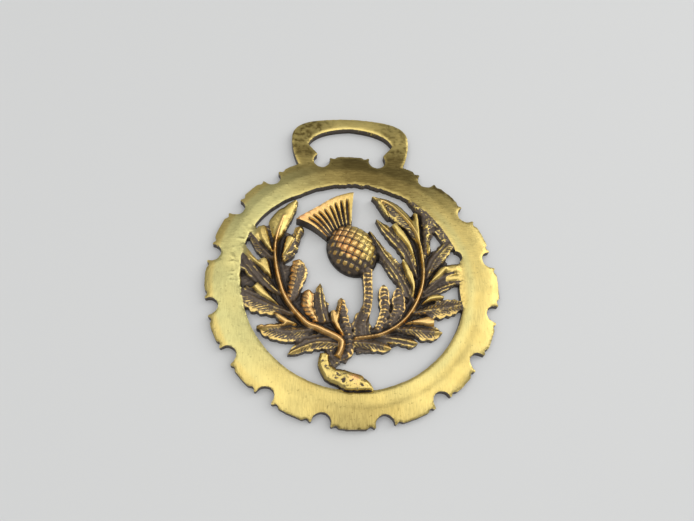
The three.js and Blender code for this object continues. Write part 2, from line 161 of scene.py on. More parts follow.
# Each leaf has the faces left and right of its midrib, the midrib from the branch to the tip, and its
# widths left and right of it.
LEAVES = [
    ("veins", "flutes", [(-15.5, -59.5), (-34.5, -58.5), (-58.5, -68.5)],
     (1.3, 1.4, 1.6, 1.4, 0.9, 0.2), (1.3, 2.3, 2.6, 3.0, 1.6, 0.2)),
    ("veins", "veins", [(-36.5, -46.5), (-60.5, -48.5), (-85, -44.5)],
     (0.9, 1.6, 2.4, 2.5, 1.9, 0.3), (0.8, 1.2, 2.0, 2.1, 1.0, 0.3)),
    ("veins", "flutes", [(-53.5, -33), (-76, -24), (-99, -12.5)],
     (0.6, 1.2, 2.2, 3.0, 3.0, 2.4), (0.6, 1.1, 1.6, 2.2, 2.8, 2.4)),
    ("flutes", "flutes", [(-65, -14.5), (-83, 3.5), (-102, 30)],
     (0.5, 1.3, 2.1, 2.7, 2.9, 1.8), (0.5, 0.9, 1.2, 1.4, 1.2, 0.6)),
    ("dim veins", "dim veins", [(-72, 19.5), (-83.5, 30.5), (-94, 45.5)],
     (0.5, 1.0, 1.3, 1.2, 0.9, 0.6), (0.5, 0.9, 1.1, 1.2, 1.2, 1.0)),
    ("gold", "gold", [(-84, 38), (-92, 50), (-101, 62)], (0.8, 1.2, 1.5, 1.7), (0.6, 1.0, 1.3, 1.4)),
    ("pale", "gold", [(-70, 36.5), (-67, 59), (-53, 80.5)],
     (0.6, 1.6, 2.6, 2.1, 1.1, 0.2), (0.5, 1.9, 2.5, 2.6, 2.0, 0.9)),
    ("veins", "rough", [(-64, 18), (-56.5, 31), (-47.5, 53.5)],
     (0.5, 0.9, 1.0, 1.0, 1.2, 1.1), (0.5, 1.3, 1.6, 1.2, 1.2, 1.2)),
    ("copper", "plain", [(-57.5, -22.5), (-52.5, 0), (-49, 19.5)],
     (0.6, 1.2, 1.5, 1.6, 1.8, 1.9), (0.6, 1.6, 2.0, 2.5, 2.5, 1.3)),
    ("copper", "copper rim", [(-33, -40), (-41.5, -24), (-41, -9.5)],
     (0.5, 1.1, 1.4, 1.5, 1.4, 1.3), (0.5, 1.0, 1.3, 1.5, 1.5, 1.4)),
    ("plain", "flutes", [(-26.5, -40), (-30.5, -21), (-30.5, -2.5)],
     (1.2, 1.5, 1.6, 1.5, 1.0, 0.2), (1.0, 1.7, 1.9, 1.5, 0.8, 0.2)),
    ("rungs", "rungs", [(-16, -72.5), (-7, -66.5), (-6, -52), (-10.5, -34.5), (-12, -16.5)],
     (0.5, 1.2, 1.2, 1.4, 1.6, 0.8), (0.5, 1.1, 1.1, 1.2, 1.3, 0.7)),
    ("plain", "flutes", [(5, -52.5), (5, -40), (10, -22.5)],
     (2.0, 2.1, 2.2, 1.9, 1.0, 0.6), (2.2, 2.6, 2.6, 1.6, 0.9, 0.6)),
    ("rungs", "rungs", [(18.5, -47), (26, -27.5), (26.5, -3)],
     (0.9, 0.9, 1.0, 1.4, 1.5, 0.8), (0.9, 1.1, 1.3, 1.3, 1.2, 0.7)),
    ("rungs", "rungs", [(28.5, -42), (38, -27.5), (39, -6)],
     (0.8, 1.3, 1.5, 1.6, 1.5, 0.8), (0.8, 1.1, 1.6, 1.9, 1.6, 0.8)),
    ("flutes", "veins", [(52.5, -19), (41, 7), (27.5, 28.5), (15.5, 50.5)],
     (0.6, 1.5, 2.1, 1.9, 1.4, 0.2), (0.6, 1.3, 2.0, 1.4, 0.8, 0.2)),
    ("flutes", "veins", [(57.5, 3.5), (48.5, 29.5), (35.5, 47), (22, 63)],
     (0.5, 1.2, 1.5, 1.4, 1.1, 0.2), (0.4, 1.2, 1.7, 2.1, 1.2, 0.2)),
    ("veins", "gold", [(60, 38), (54, 59), (40, 75.5), (19, 86.5)],
     (0.5, 1.7, 2.9, 3.2, 1.7, 0.2), (0.5, 1.4, 1.2, 1.4, 1.3, 0.2)),
    ("rough", "rough", [(65.5, 22.5), (68, 45), (71.5, 72.5)],
     (0.4, 0.8, 1.0, 1.2, 1.6, 2.0), (0.4, 0.9, 1.3, 1.9, 3.8, 3.2)),
    ("rough", "rough", [(68, 69), (60, 79), (52.5, 88.5)],
     (0.9, 0.9, 0.8, 0.7, 0.6, 0.3), (0.9, 1.2, 1.3, 1.3, 1.2, 0.8)),
    ("flutes", "veins", [(66, 3.5), (74.5, 21), (90.5, 39)],
     (0.5, 1.3, 1.9, 2.0, 1.9, 1.4), (0.5, 1.1, 1.7, 1.9, 1.6, 1.1)),
    ("plain", "plain", [(61.5, -11), (76, 1.5), (92, 11)],
     (0.5, 0.8, 0.9, 0.9, 0.8, 0.5), (0.5, 0.9, 1.1, 1.1, 1.0, 0.8)),
    ("rungs", "flutes", [(59, -16), (78, -5.5), (99.5, 2)],
     (0.4, 0.9, 1.2, 1.3, 1.1, 0.7), (0.4, 0.8, 1.0, 0.9, 0.4, 0.2)),
    ("veins", "veins", [(50, -30.5), (71, -26.5), (96, -22)],
     (0.5, 1.0, 1.7, 2.2, 2.1, 1.4), (0.5, 0.8, 2.2, 2.4, 2.1, 0.8)),
    ("veins", "veins", [(33, -45.5), (53.5, -46.5), (76, -48)],
     (0.4, 1.0, 1.6, 1.7, 1.6, 0.5), (0.5, 0.8, 1.2, 2.2, 2.1, 0.7)),
    ("plain", "flutes", [(15.5, -52), (34.5, -54), (53.5, -58)],
     (0.6, 0.8, 1.0, 1.0, 1.0, 0.5), (0.8, 1.3, 1.4, 1.1, 1.3, 0.8)),
    ("plain", "veins", [(-3, -58), (14, -59), (30, -63)],
     (0.9, 1.1, 1.4, 1.5, 1.4, 0.7), (1.0, 1.1, 1.4, 1.6, 1.4, 0.6)),
]

# Where the edge of a leaf is turned over it is smooth and rubbed bright.
FOLDS = [
    ("copper fold", [(-50.5, -42.5), (-61, -38.5), (-70, -32)],
     (0.2, 0.5, 0.8, 0.9, 0.7, 0.2), (0.2, 0.4, 0.6, 0.8, 0.7, 0.2)),
    ("copper fold", [(-59.5, -42), (-68.5, -44), (-84, -44.5)],
     (0.2, 0.4, 0.5, 0.4, 0.5, 0.4), (0.2, 0.4, 0.5, 0.4, 0.3, 0.2)),
    ("fold", [(-67, -24.5), (-77, -16), (-88, -5.5)],
     (0.1, 0.4, 0.8, 1.1, 1.2, 1.0), (0.1, 0.4, 0.7, 0.9, 1.1, 1.0)),
    ("fold", [(-73.5, 1), (-77.5, 10), (-81, 19)],
     (0.1, 0.6, 1.2, 1.5, 1.6, 1.3), (0.1, 0.4, 0.7, 0.9, 1.0, 0.9)),
    ("fold", [(-78, 9), (-89, 18), (-101, 31)],
     (0.4, 0.6, 0.6, 0.7, 0.9, 1.2), (0.4, 0.5, 0.4, 0.5, 0.8, 1.2)),
    ("fold", [(-73.5, 26.5), (-79, 37), (-84, 51.5)],
     (0.2, 0.7, 1.0, 1.2, 1.3, 1.2), (0.2, 0.6, 0.9, 1.1, 1.2, 1.1)),
    ("fold", [(-64.5, 21.5), (-60.5, 31), (-57, 42)],
     (0.1, 0.5, 0.8, 1.0, 1.1, 1.0), (0.1, 0.5, 0.7, 0.9, 1.1, 1.1)),
    ("copper fold", [(-10.5, -52), (-16.5, -41), (-19, -29.5)],
     (0.2, 0.5, 0.8, 0.9, 0.9, 0.7), (0.2, 0.4, 0.5, 0.6, 0.6, 0.5)),
    ("copper fold", [(-16.5, -39), (-14.5, -29), (-12.5, -18)],
     (0.4, 0.5, 0.4, 0.35, 0.3, 0.1), (0.4, 0.5, 0.4, 0.35, 0.3, 0.1)),
    ("fold", [(51.5, -15), (52.5, -1), (45, 20.5)],
     (0.3, 0.5, 0.9, 1.1, 0.9, 0.3), (0.3, 0.5, 0.7, 0.8, 0.7, 0.3)),
    ("fold", [(57, 15.5), (51, 38), (38.5, 57)],
     (0.1, 0.4, 0.8, 1.1, 1.3, 0.9), (0.1, 0.3, 0.5, 0.7, 0.9, 0.8)),
    ("fold", [(34, 64), (28.5, 76), (23, 83.5)],
     (0.2, 0.5, 0.7, 0.7, 0.5, 0.1), (0.2, 0.4, 0.6, 0.6, 0.5, 0.1)),
    ("fold", [(62, 32), (60.5, 51), (59.5, 69)],
     (0.1, 0.3, 0.5, 0.7, 0.8, 0.7), (0.1, 0.3, 0.5, 0.6, 0.7, 0.6)),
    ("fold", [(68.5, 26.5), (69.5, 33), (69, 40)],
     (0.1, 0.5, 0.5, 0.4, 0.3, 0.1), (0.1, 0.5, 0.6, 0.5, 0.3, 0.1)),
    ("fold", [(67.5, -2), (76, 6), (84, 15)],
     (0.1, 0.5, 0.8, 1.0, 1.0, 0.5), (0.1, 0.4, 0.7, 0.9, 0.9, 0.5)),
    ("fold", [(59.5, -21.5), (69, -17), (79.5, -15)],
     (0.1, 0.5, 1.1, 1.2, 0.8, 0.2), (0.1, 0.3, 0.4, 0.5, 0.4, 0.1)),
    ("copper fold", [(43.5, -40.5), (55, -39), (68.5, -39.5)],
     (0.1, 0.5, 0.8, 1.3, 1.8, 1.0), (0.1, 0.3, 0.5, 0.7, 0.9, 0.8)),
]
# Solid places where leaves run together or into the ring, and thin metal left between leaves. Each has
# one half width.
BRIDGES = [
    ("rough", 1.15, [(-73, 32), (-77, 44), (-80, 53)]),
    ("gold", 1.0, [(83, 4.5), (100.5, 6)]),
    ("gold", 1.0, [(100, -23), (98.5, -8.5), (100, 4)]),
    ("rough", 1.6, [(92, 38), (80.5, 56.5)]),
]
WEBS = [
    (1.3, [(-68.5, 10), (-64, 34.5), (-61, 48)]),
    (2.0, [(-67.5, -14), (-85, -3.5), (-101.5, 1)]),
    (1.3, [(-65.5, -12), (-61.5, 3.5), (-59.5, 15)]),
    (1.15, [(-52, -29), (-49.5, -19), (-48, -11)]),
    (1.0, [(58, 27.5), (51, 45), (41.5, 56)]),
    (1.15, [(64, 30), (65, 52), (63.5, 70)]),
    (1.15, [(66, 1.5), (77, 14), (84, 23)]),
    (0.85, [(53.5, -24), (73, -20)]),
    (0.85, [(44, -35.5), (64, -32.5)]),
    (1.0, [(31, -48.5), (51, -53)]),
    (0.85, [(26, -43.5), (31.5, -22)]),
]
# The branches with the widths of their bark, and of the web to their left and right.
OUTER_WEB = (3.5, 3.5, 3.4, 3.0, 2.3, 1.5)
INNER_WEB = (2.6, 2.6, 2.5, 2.2, 1.7, 1.1)
BRANCHES = [
    ([(-16.5, -71), (-13, -63), (-14, -55), (-31.5, -45.5), (-44, -39.5), (-61.5, -16.5), (-70, 15.5),
      (-70, 40), (-63.5, 64)],
     (0.85, 0.95, 0.75, 0.65, 0.55, 0.3), (OUTER_WEB, INNER_WEB)),
    ([(-1.5, -54.5), (24, -49.5), (45.5, -34), (59.5, -8.5), (63, 19), (57.5, 50.5), (39.5, 74.5),
      (26.5, 82.5)],
     (0.5, 0.55, 0.6, 0.55, 0.5, 0.3), (INNER_WEB, OUTER_WEB)),
]
STEM = ([(11.5, 12), (12, -5), (11.5, -19), (8.5, -33), (2.5, -45)], (1.3, 1.15, 1.1, 1.1, 1.0, 0.8))
TIE = ([(-22, -63), (-21, -70), (-16, -77)], (1.1, 1.1, 1.1, 1.0, 0.9, 0.8))
FOOT = ([(-27, -68), (-27.5, -76.5), (-22, -85.5), (-10.5, -89.5), (0.5, -95.5), (4, -103.5)],
        (1.2, 1.5, 1.9, 2.2, 2.6, 3.2))
CURL = ([(83.5, 13), (95, 13.5), (107.5, 11)], (1.1, 1.3, 1.7, 2.3))

# Where the foot was filled badly: places and sizes of its pits and of a reddish patch, and the gouge
# along the ring below it.
FOOT_PITS = [
    (-3.5, -26.4, 0.55), (-4.8, -24.8, 0.3), (-3.5, -23.6, 0.28), (1.0, -27.4, 0.35), (-0.7, -27.2, 0.25),
    (-6.6, -22.6, 0.3),
]
FOOT_BLUSH = (-0.3, -25.6, 2.6)
GOUGE = ((-4.0, 4.2), -28.7, 0.42)
GOUGE_DEPTH = 0.8
PIT_DEPTH = 0.5

# The shallow trough in the ring's band at the lower right and the lip beside it: height, radius, half width.
TROUGH_BEARING = -0.8
TROUGH_LIP = (0.15, 29.9, 1.2)
TROUGH = (0.2, 32.4, 2.0)

# Stretches of the band that differ: bearings in radians, with their reach to either side. Those at the
# left are counted clockwise from there. Strips have a radius and their reach from it.
BURRED_TOP = (1.45, 0.7)
CHIPPED_SIDE = (0.85, 0.4)
# BROWN_TOP is painted shade: the band is browned along its top.
BROWN_TOP = (1.4, 1.15)
BROWN_FOOT = (-1.57, 0.6)
PALE_LEFT = 0.2
PALE_RIGHT = -0.1
PALE_RIGHT_STRIP = (30.6, 1.8)
WORM_MARKS = (0.25, 0.45)
WORM_STRIP = (31.2, 2.0)
WORM_HEIGHT = 0.16
# Radii between which worn metal goes over from crisp to soft.
SOFTENING = (27.0, 28.5)

BULB_MIDDLE = (-0.7, 31.5)
FAN_NECK = [(-24.5, 42), (-1.5, 53.5)]
FAN_LEFT = [(-24.5, 42), (-34, 50), (-42, 55), (-52.5, 59)]
FAN_RIGHT = [(-1.5, 53.5), (-1, 67), (0, 78), (1, 88)]
FAN_TOP = [(-52.5, 59), (-35, 70), (-18, 81.5), (-5, 86.5), (1, 88)]

# The photograph's view, worked out from the ring's circle and its evenly spaced notches.
VIEW_HEIGHT_ANGLE = math.radians(64.2)
VIEW_SIDE_ANGLE = math.radians(-12.9)
VIEW_ROLL = math.radians(12.9)
VIEW_DISTANCE = 182.0
VIEW_TARGET = (-1.83, 5.51, RING_CROWN_HEIGHT)
IMAGE_WIDTH = 694
FOCAL_PIXELS = 700
SENSOR_WIDTH = 36.0

YELLOW_BRASS = (0.78, 0.6, 0.2, 1)
DEEP_BRASS = (0.68, 0.51, 0.16, 1)
PALE_BRASS = (0.6, 0.55, 0.23, 1)
COPPER_RED = (0.95, 0.5, 0.21, 1)
# Brown for tarnish, used also for painted shade along the band's top.
TARNISH_AND_SHADE_BROWN = (0.16, 0.115, 0.035, 1)
PATINA_DARK = (0.075, 0.055, 0.04, 1)
PATINA_LIGHT = (0.16, 0.12, 0.088, 1)
# Near black painted into low places and onto walls as shade.
HOLLOW_SHADE_BLACK = (0.02, 0.014, 0.01, 1)
FLOOR_COLOUR = (0.72, 0.72, 0.71, 1)
WORLD_COLOUR = (0.96, 0.98, 1.0, 1)
WORLD_STRENGTH = 0.42

# Half the floor's width in metres, and each light's name, place and size in metres and power in watts.
FLOOR_REACH = 2.0
LIGHTS = [
    ("softbox", (0.0, -0.05, 1.0), (1.5, 1.2), 6.4),
    ("side_softbox", (0.75, 0.35, 0.55), (0.6, 0.6), 2.2),
]


def smooth(low, high, value):
    """0 below low, 1 above high, and an S curve between them."""
    t = np.clip((value - low) / (high - low), 0, 1)
    return t * t * (3 - 2 * t)


def bump(value, middle, reach):
    """1 at the middle, falling smoothly to 0 at reach from it."""
    return smooth(1, 0, np.abs(value - middle) / reach)


def curve(points):
    """Points evenly spaced along a smooth curve through the plan points, which is how the solid has it."""
    knots = np.array(points, float) * SHARE
    padded = np.vstack([knots[:1], knots, knots[-1:]])
    pieces = []
    t = np.linspace(0, 1, 24, endpoint=False)[:, None]
    for p0, p1, p2, p3 in zip(padded, padded[1:], padded[2:], padded[3:]):
        v0, v1 = (p2 - p0) / 2, (p3 - p1) / 2
        cubic = 2 * p1 - 2 * p2 + v0 + v1
        square = -3 * p1 + 3 * p2 - 2 * v0 - v1
        pieces.append(cubic * t**3 + square * t**2 + v0 * t + p1)
    pieces.append(knots[-1:])
    fine = np.vstack(pieces)
    run = np.concatenate([[0], np.cumsum(np.hypot(*np.diff(fine, axis=0).T))])
    even = np.linspace(0, run[-1], max(24, int(run[-1] / 0.35)))
    return np.stack([np.interp(even, run, fine[:, k]) for k in (0, 1)], axis=1), run[-1]


def widths_along(widths, along):
    """Half widths eased from one value to the next."""
    spot = np.clip(along, 0, 1) * (len(widths) - 1)
    low = np.minimum(spot.astype(int), len(widths) - 2)
    values = np.array(widths, float)
    return values[low] + (values[low + 1] - values[low]) * smooth(0, 1, spot - low)


def between(table, i, j, s, t):
    """Values at shares s and t of the way between four cells of a table."""
    near = table[i, j] * (1 - s) + table[i + 1, j] * s
    far = table[i, j + 1] * (1 - s) + table[i + 1, j + 1] * s
    return near * (1 - t) + far * t


def noise(x, y, scale, seed):
    """Smooth random values from -1 to 1 whose grains are about scale across. Each use has its own seed."""
    table = np.random.default_rng(SEED + seed).uniform(-1, 1, (256, 256))
    u, v = x / scale + 128, y / scale + 128
    i, j = np.floor(u).astype(int), np.floor(v).astype(int)
    return between(table, i % 255, j % 255, smooth(0, 1, u - i), smooth(0, 1, v - j))


def blurred(field, reach):
    """The field averaged over a square, twice, by turning it between the passes."""
    cells = max(1, round(reach / STEP))
    for _ in range(4):
        total = np.cumsum(np.pad(field, ((cells + 1, cells), (0, 0)), "edge"), axis=0)
        field = ((total[2 * cells + 1:] - total[:-2 * cells - 1]) / (2 * cells + 1)).T
    return field


class Relief:
    """The casting as a height over its plan, with how bright and how coppery its surface is."""

    def __init__(self):
        margin = 2 * STEP
        across = np.arange(-RING_RADIUS - margin, RING_RADIUS + margin, STEP)
        upward = np.arange(-RING_RADIUS - margin, RING_RADIUS + HANGER_RISE + margin, STEP)
        self.x, self.y = np.meshgrid(across, upward, indexing="ij")
        self.height, self.rubbed, self.copper = (np.zeros_like(self.x) for _ in range(3))
        self.outline = np.full_like(self.x, FAR)
        self.radius = np.hypot(self.x, self.y)
        self.bearing = np.arctan2(self.y, self.x)

    def window(self, low, high):
        """The part of the grid from one plan corner to the other."""
        first = self.x[0, 0], self.y[0, 0]
        spans = [[int((corner[k] - first[k]) / STEP) for corner in (low, high)] for k in (0, 1)]
        return tuple(slice(max(start, 0), max(stop + 2, 0)) for start, stop in spans)

    def lay(self, where, outline, top, rubbed, copper, rounding):
        """Joins a form to what is there: its outline is below 0 inside, and its edge is rounded off."""
        depth = np.clip(rounding + outline, 0, rounding)
        rounded = top - (rounding - np.sqrt(np.maximum(rounding**2 - depth**2, 0)))
        higher = (outline < 0) & (rounded > self.height[where])
        self.height[where] = np.where(higher, rounded, self.height[where])
        self.rubbed[where] = np.where(higher, rubbed, self.rubbed[where])
        self.copper[where] = np.where(higher, copper, self.copper[where])
        other = self.outline[where]
        fillet = np.maximum(FILLET - np.abs(outline - other), 0) / FILLET
        self.outline[where] = np.minimum(outline, other) - fillet**2 * FILLET / 4


class HalfLeaf:
    """Half a leaf or cord: run is along the midrib, and side is 0 at the midrib and 1 at the edge."""

    def __init__(self, run, side, width, x, y):
        self.run, self.side, self.width = run, side, width
        self.x, self.y = x, y
        self.rim = bump(side, 0.88, 0.24) * (0.75 + 0.4 * self.noise(1.2, 30))
        self.hollow = bump(side, 0.5, 0.5)

    def noise(self, scale, seed):
        return noise(self.x, self.y, scale, seed)

    def waves(self, slant, pitch, wander=0.0):
        """From 0 to 1 and back once a pitch along the midrib, slanting towards the tip."""
        return 0.5 - 0.5 * np.cos(2 * math.pi * (self.run - slant * self.side * self.width + wander) / pitch)


# Each way of carving tells how far half a leaf rises over its plain form, and how much brighter it is.
def carved_smooth(leaf):
    return np.zeros_like(leaf.side), np.zeros_like(leaf.side)


def carved_veins(leaf):
    wander = 0.4 * leaf.noise(1.6, 28)
    vein = leaf.waves(1.5, VEIN_PITCH, wander) ** 1.5
    vein *= 0.75 + 0.25 * leaf.noise(1.8, 29)
    rise = VEIN_DEPTH * vein * leaf.hollow - VEIN_DEPTH * leaf.hollow + RIM_RISE * leaf.rim
    return rise, 0.62 * vein * leaf.hollow + 0.35 * leaf.rim


def carved_faint(leaf):
    vein = leaf.waves(0.9, FAINT_PITCH)
    return -0.1 * vein * leaf.hollow, -0.3 * vein * leaf.hollow


def carved_fine(leaf):
    vein = leaf.waves(1.3, FINE_PITCH)
    rise = 0.14 * vein * leaf.hollow - 0.25 * leaf.hollow + RIM_RISE * leaf.rim
    return rise, 0.2 * vein * leaf.hollow + 0.4 * leaf.rim


def carved_ribs(leaf):
    rib = leaf.waves(0.5, RIB_PITCH) ** 0.7
    rib *= smooth(0.95, 0.75, leaf.side)
    return 0.4 * rib - RIB_DEPTH * smooth(0.98, 0.8, leaf.side), 0.5 * rib + 0.25 * leaf.rim - 0.1


def carved_rungs(leaf):
    """A trough between two rims, with rungs across it."""
    trough = smooth(0.85, 0.6, leaf.side)
    rung = leaf.waves(-0.35, RUNG_PITCH) * trough
    rung *= 0.7 + 0.4 * leaf.noise(0.9, 31)
    rise = 0.4 * rung - RUNG_TROUGH * trough + 0.2 * leaf.rim
    return rise, 0.55 * rung - 0.15 * trough + 0.45 * leaf.rim


def carved_flutes(leaf):
    """Ridges that run along the leaf, worn bright in places."""
    flute = np.cos(2 * math.pi * leaf.side * np.clip(leaf.width / FLUTE_PITCH, 1, 2.5))
    worn = 0.3 * flute * (leaf.side < 0.95) * (0.5 + 0.6 * leaf.noise(1.4, 32))
    return 0.2 * flute - 0.16 + RIM_RISE * leaf.rim, worn + 0.3 * leaf.rim


def carved_lines(leaf):
    line = np.cos(2 * math.pi * leaf.side * leaf.width / LINE_PITCH)
    return 0.2 * line + 0.1, 0.22 * line


def carved_rough(leaf):
    """Thin crests that wander, as on metal that was cast badly."""
    crest = smooth(0.24, 0.03, np.abs(leaf.noise(0.8, 11) + 0.4 * leaf.noise(0.45, 12)))
    return 0.25 * crest - 0.2, 0.4 * crest + 0.2 * leaf.rim - 0.05


def carved_pitted(leaf):
    pits = smooth(0.4, 0.65, leaf.noise(0.6, 13)) + smooth(0.35, 0.6, leaf.noise(0.33, 14))
    return -0.12 * pits, -0.5 * pits


# How half a leaf, a fold or a cord is carved, how far it is rubbed bright (0 to 1), and how coppery it is.
FACES = {
    "gold": (carved_smooth, 0.8, 0.05),
    "pale": (carved_faint, 0.85, 0.0),
    "copper": (carved_ribs, 0.4, 0.6),
    "copper rim": (carved_smooth, 0.7, 0.6),
    "rungs": (carved_rungs, 0.2, 0.35),
    "veins": (carved_veins, 0.2, 0.2),
    "dim veins": (carved_veins, 0.0, 0.2),
    "flutes": (carved_flutes, 0.16, 0.15),
    "plain": (carved_fine, 0.16, 0.3),
    "rough": (carved_rough, 0.2, 0.1),
    "fold": (carved_smooth, 0.95, 0.08),
    "copper fold": (carved_smooth, 0.9, 0.45),
    "web": (carved_lines, 0.1, 0.1),
    "hollow": (carved_rough, 0.05, 0.1),
    "bark": (carved_smooth, 0.95, 0.6),
    "stem": (carved_rungs, -0.1, 0.35),
    "foot": (carved_pitted, 0.9, 0.0),
    "tie": (carved_rungs, 0.05, 0.1),
}


def add_blade(relief, faces, path, widths, edge, crest, rounding=LEAF_ROUNDING,
              fullness=LEAF_FULLNESS, lobed=False, tip=0.0):
    """A leaf, cord or fold: a strip along a curve that rises from its edges to a crest."""
    middle, length = curve(path)
    reach = max(map(max, widths)) + 0.6
    where = relief.window(middle.min(0) - reach, middle.max(0) + reach)
    x, y = relief.x[where], relief.y[where]
    ahead = np.gradient(middle, axis=0)
    ahead /= np.hypot(*ahead.T)[:, None]
    near = ((x[..., None] - middle[:, 0]) ** 2 + (y[..., None] - middle[:, 1]) ** 2).argmin(-1)
    dx, dy = x - middle[near, 0], y - middle[near, 1]
    run = near * length / (len(middle) - 1) + dx * ahead[near, 0] + dy * ahead[near, 1]
    aside = dy * ahead[near, 0] - dx * ahead[near, 1]
    along = run / length
    left = aside > 0
    width = np.where(left, widths_along(widths[0], along), widths_along(widths[1], along))
    width = width * (1 + (LEAF_RAGGED if lobed else CORD_RAGGED) * noise(x, y, 0.9, 33))
    if lobed:
        width = width * (0.93 + 0.13 * np.abs(np.sin(math.pi * run / LOBE_PITCH + 0.6)))
    if tip:
        width = width * np.sqrt(np.clip((length - run) / tip, 0.02, 1))
    width = np.maximum(width, 0.1)
    outline = np.maximum(np.abs(aside) - width, np.maximum(run - length, -run))
    side = np.clip(np.abs(aside) / width, 0, 1)
    top = edge + (crest - edge) * (1 - side**fullness)
    run = run + 0.22 * noise(x, y, 1.3, 19)
    half = HalfLeaf(run, side, width, x, y)
    looks = []
    for face in faces:
        carved, rubbed, copper = FACES[face]
        rise, brighter = carved(half)
        looks.append((rise, rubbed + brighter, np.full_like(side, copper)))
    rise, rubbed, copper = (np.where(left, a, b) for a, b in zip(*looks))
    relief.lay(where, outline, top + rise, rubbed, copper, rounding)


def ring_top(relief):
    """The band's dome, with a bevel at its outer edge and a shallow trough at the lower right."""
    crown = (RING_RADIUS + OPENING_RADIUS) / 2
    radii = [OPENING_RADIUS, crown, RING_RADIUS - RING_BEVEL, RING_RADIUS]
    bevel_height = (RING_RIM_HEIGHT + 2 * RING_CROWN_HEIGHT) / 3
    heights = [OPENING_RIM_HEIGHT, RING_CROWN_HEIGHT, bevel_height, RING_RIM_HEIGHT]
    top = np.interp(relief.radius, radii, heights)
    lip, trough = (height * bump(relief.radius, *place) for height, *place in (TROUGH_LIP, TROUGH))
    top += smooth(1.3, 0.4, np.abs(relief.bearing - TROUGH_BEARING)) * (lip - trough)
    return top + (noise(relief.x, relief.y, 7, 1) * 0.04 + noise(relief.x, relief.y, 2.4, 2) * 0.01)


def smooth_max(a, b, reach):
    """The greater of two fields, with the crease between them filled."""
    fill = np.maximum(reach - np.abs(a - b), 0) / reach
    return np.maximum(a, b) + fill**2 * reach / 4


def ring_outline(relief):
    """The band's edges: chipped outside at the upper right, and ragged inside along the top."""
    x, y = relief.x, relief.y
    offset = OPENING_RADIUS + OPENING_EASE - EASE_RADIUS
    eased = EASE_RADIUS - np.hypot(x - offset * math.cos(EASE_BEARING), y - offset * math.sin(EASE_BEARING))
    burrs = RING_RAGGED * noise(x, y, 0.8, 21) * bump(relief.bearing, *BURRED_TOP)
    chips = RING_RAGGED * noise(x, y, 0.9, 22) * bump(relief.bearing, *CHIPPED_SIDE)
    opening = np.maximum(OPENING_RADIUS - relief.radius, eased) + burrs
    outline = np.maximum(relief.radius - RING_RADIUS + np.maximum(chips, 0), opening)
    hole_x, hole_y = (v * SHARE for v in CURL_HOLE)
    outline = np.maximum(outline, CURL_HOLE_RADIUS - np.hypot(x - hole_x, y - hole_y))
    nicks = [bearing + side * NICK_TURN for bearing in NOTCH_BEARINGS for side in (-1, 1)]
    outline = bitten(outline, x, y, nicks, RING_RADIUS, NICK_RADIUS)
    return bitten(outline, x, y, NOTCH_BEARINGS, NOTCH_DISTANCE, NOTCH_RADIUS) + 0.08 * noise(x, y, 1.3, 18)


def bitten(outline, x, y, bearings, distance, size):
    """An outline with round bites taken out of it."""
    for degrees in bearings:
        angle = math.radians(degrees)
        away = np.hypot(x - distance * math.cos(angle), y - distance * math.sin(angle))
        outline = smooth_max(outline, size - away, 0.6)
    return outline


def add_ring(relief):
    """Lays the band over what runs into it. What stands higher beside the band is eased down to it, and
    the band's edge is rounded only where nothing meets it."""
    own = ring_outline(relief)
    depth = np.clip(RING_ROUNDING + np.minimum(own, relief.outline), 0, RING_ROUNDING)
    level = ring_top(relief)
    top = level - RING_ROUNDING + np.sqrt(RING_ROUNDING**2 - depth**2)
    above = np.maximum(relief.height - level, 0) * (relief.radius < RING_RADIUS - RING_BEVEL)
    eased = relief.height - above * smooth(2.2, -0.5, own)
    under = np.where(own > -1.4, eased, 0)
    band = own < 0
    ring_wins = band & (top >= under - 0.01)
    relief.rubbed[ring_wins] = 1.0
    relief.copper[ring_wins] = 0.0
    relief.height = np.where(band, np.maximum(top, under), eased)
    relief.outline = np.minimum(own, relief.outline)


def loop_distance(x, y, corners):
    """Distance to a closed outline, below 0 inside it."""
    ends = np.roll(corners, -1, axis=0)
    nearest = np.full(x.shape, 1e9)
    inside = np.zeros(x.shape, bool)
    for (ax, ay), (bx, by) in zip(corners, ends):
        ex, ey = bx - ax, by - ay
        if math.hypot(ex, ey) < 1e-6:
            continue
        t = np.clip(((x - ax) * ex + (y - ay) * ey) / (ex * ex + ey * ey), 0, 1)
        nearest = np.minimum(nearest, np.hypot(x - ax - t * ex, y - ay - t * ey))
        crosses = (ay > y) != (by > y)
        slope = ex / ey if ey else 0.0
        inside ^= crosses & (x < ax + (y - ay) * slope)
    return np.where(inside, -nearest, nearest)


def bend(start, control, end, count=10):
    """A three-point curve, without its first point."""
    t = np.linspace(0, 1, count + 1)[1:, None]
    a, b, c = (np.array(p, float) for p in (start, control, end))
    return (1 - t) ** 2 * a + 2 * t * (1 - t) * b + t**2 * c


def mirrored(half):
    """A closed outline from its right half."""
    half = np.vstack(half)
    return np.vstack([half, half[::-1] * (-1, 1)])


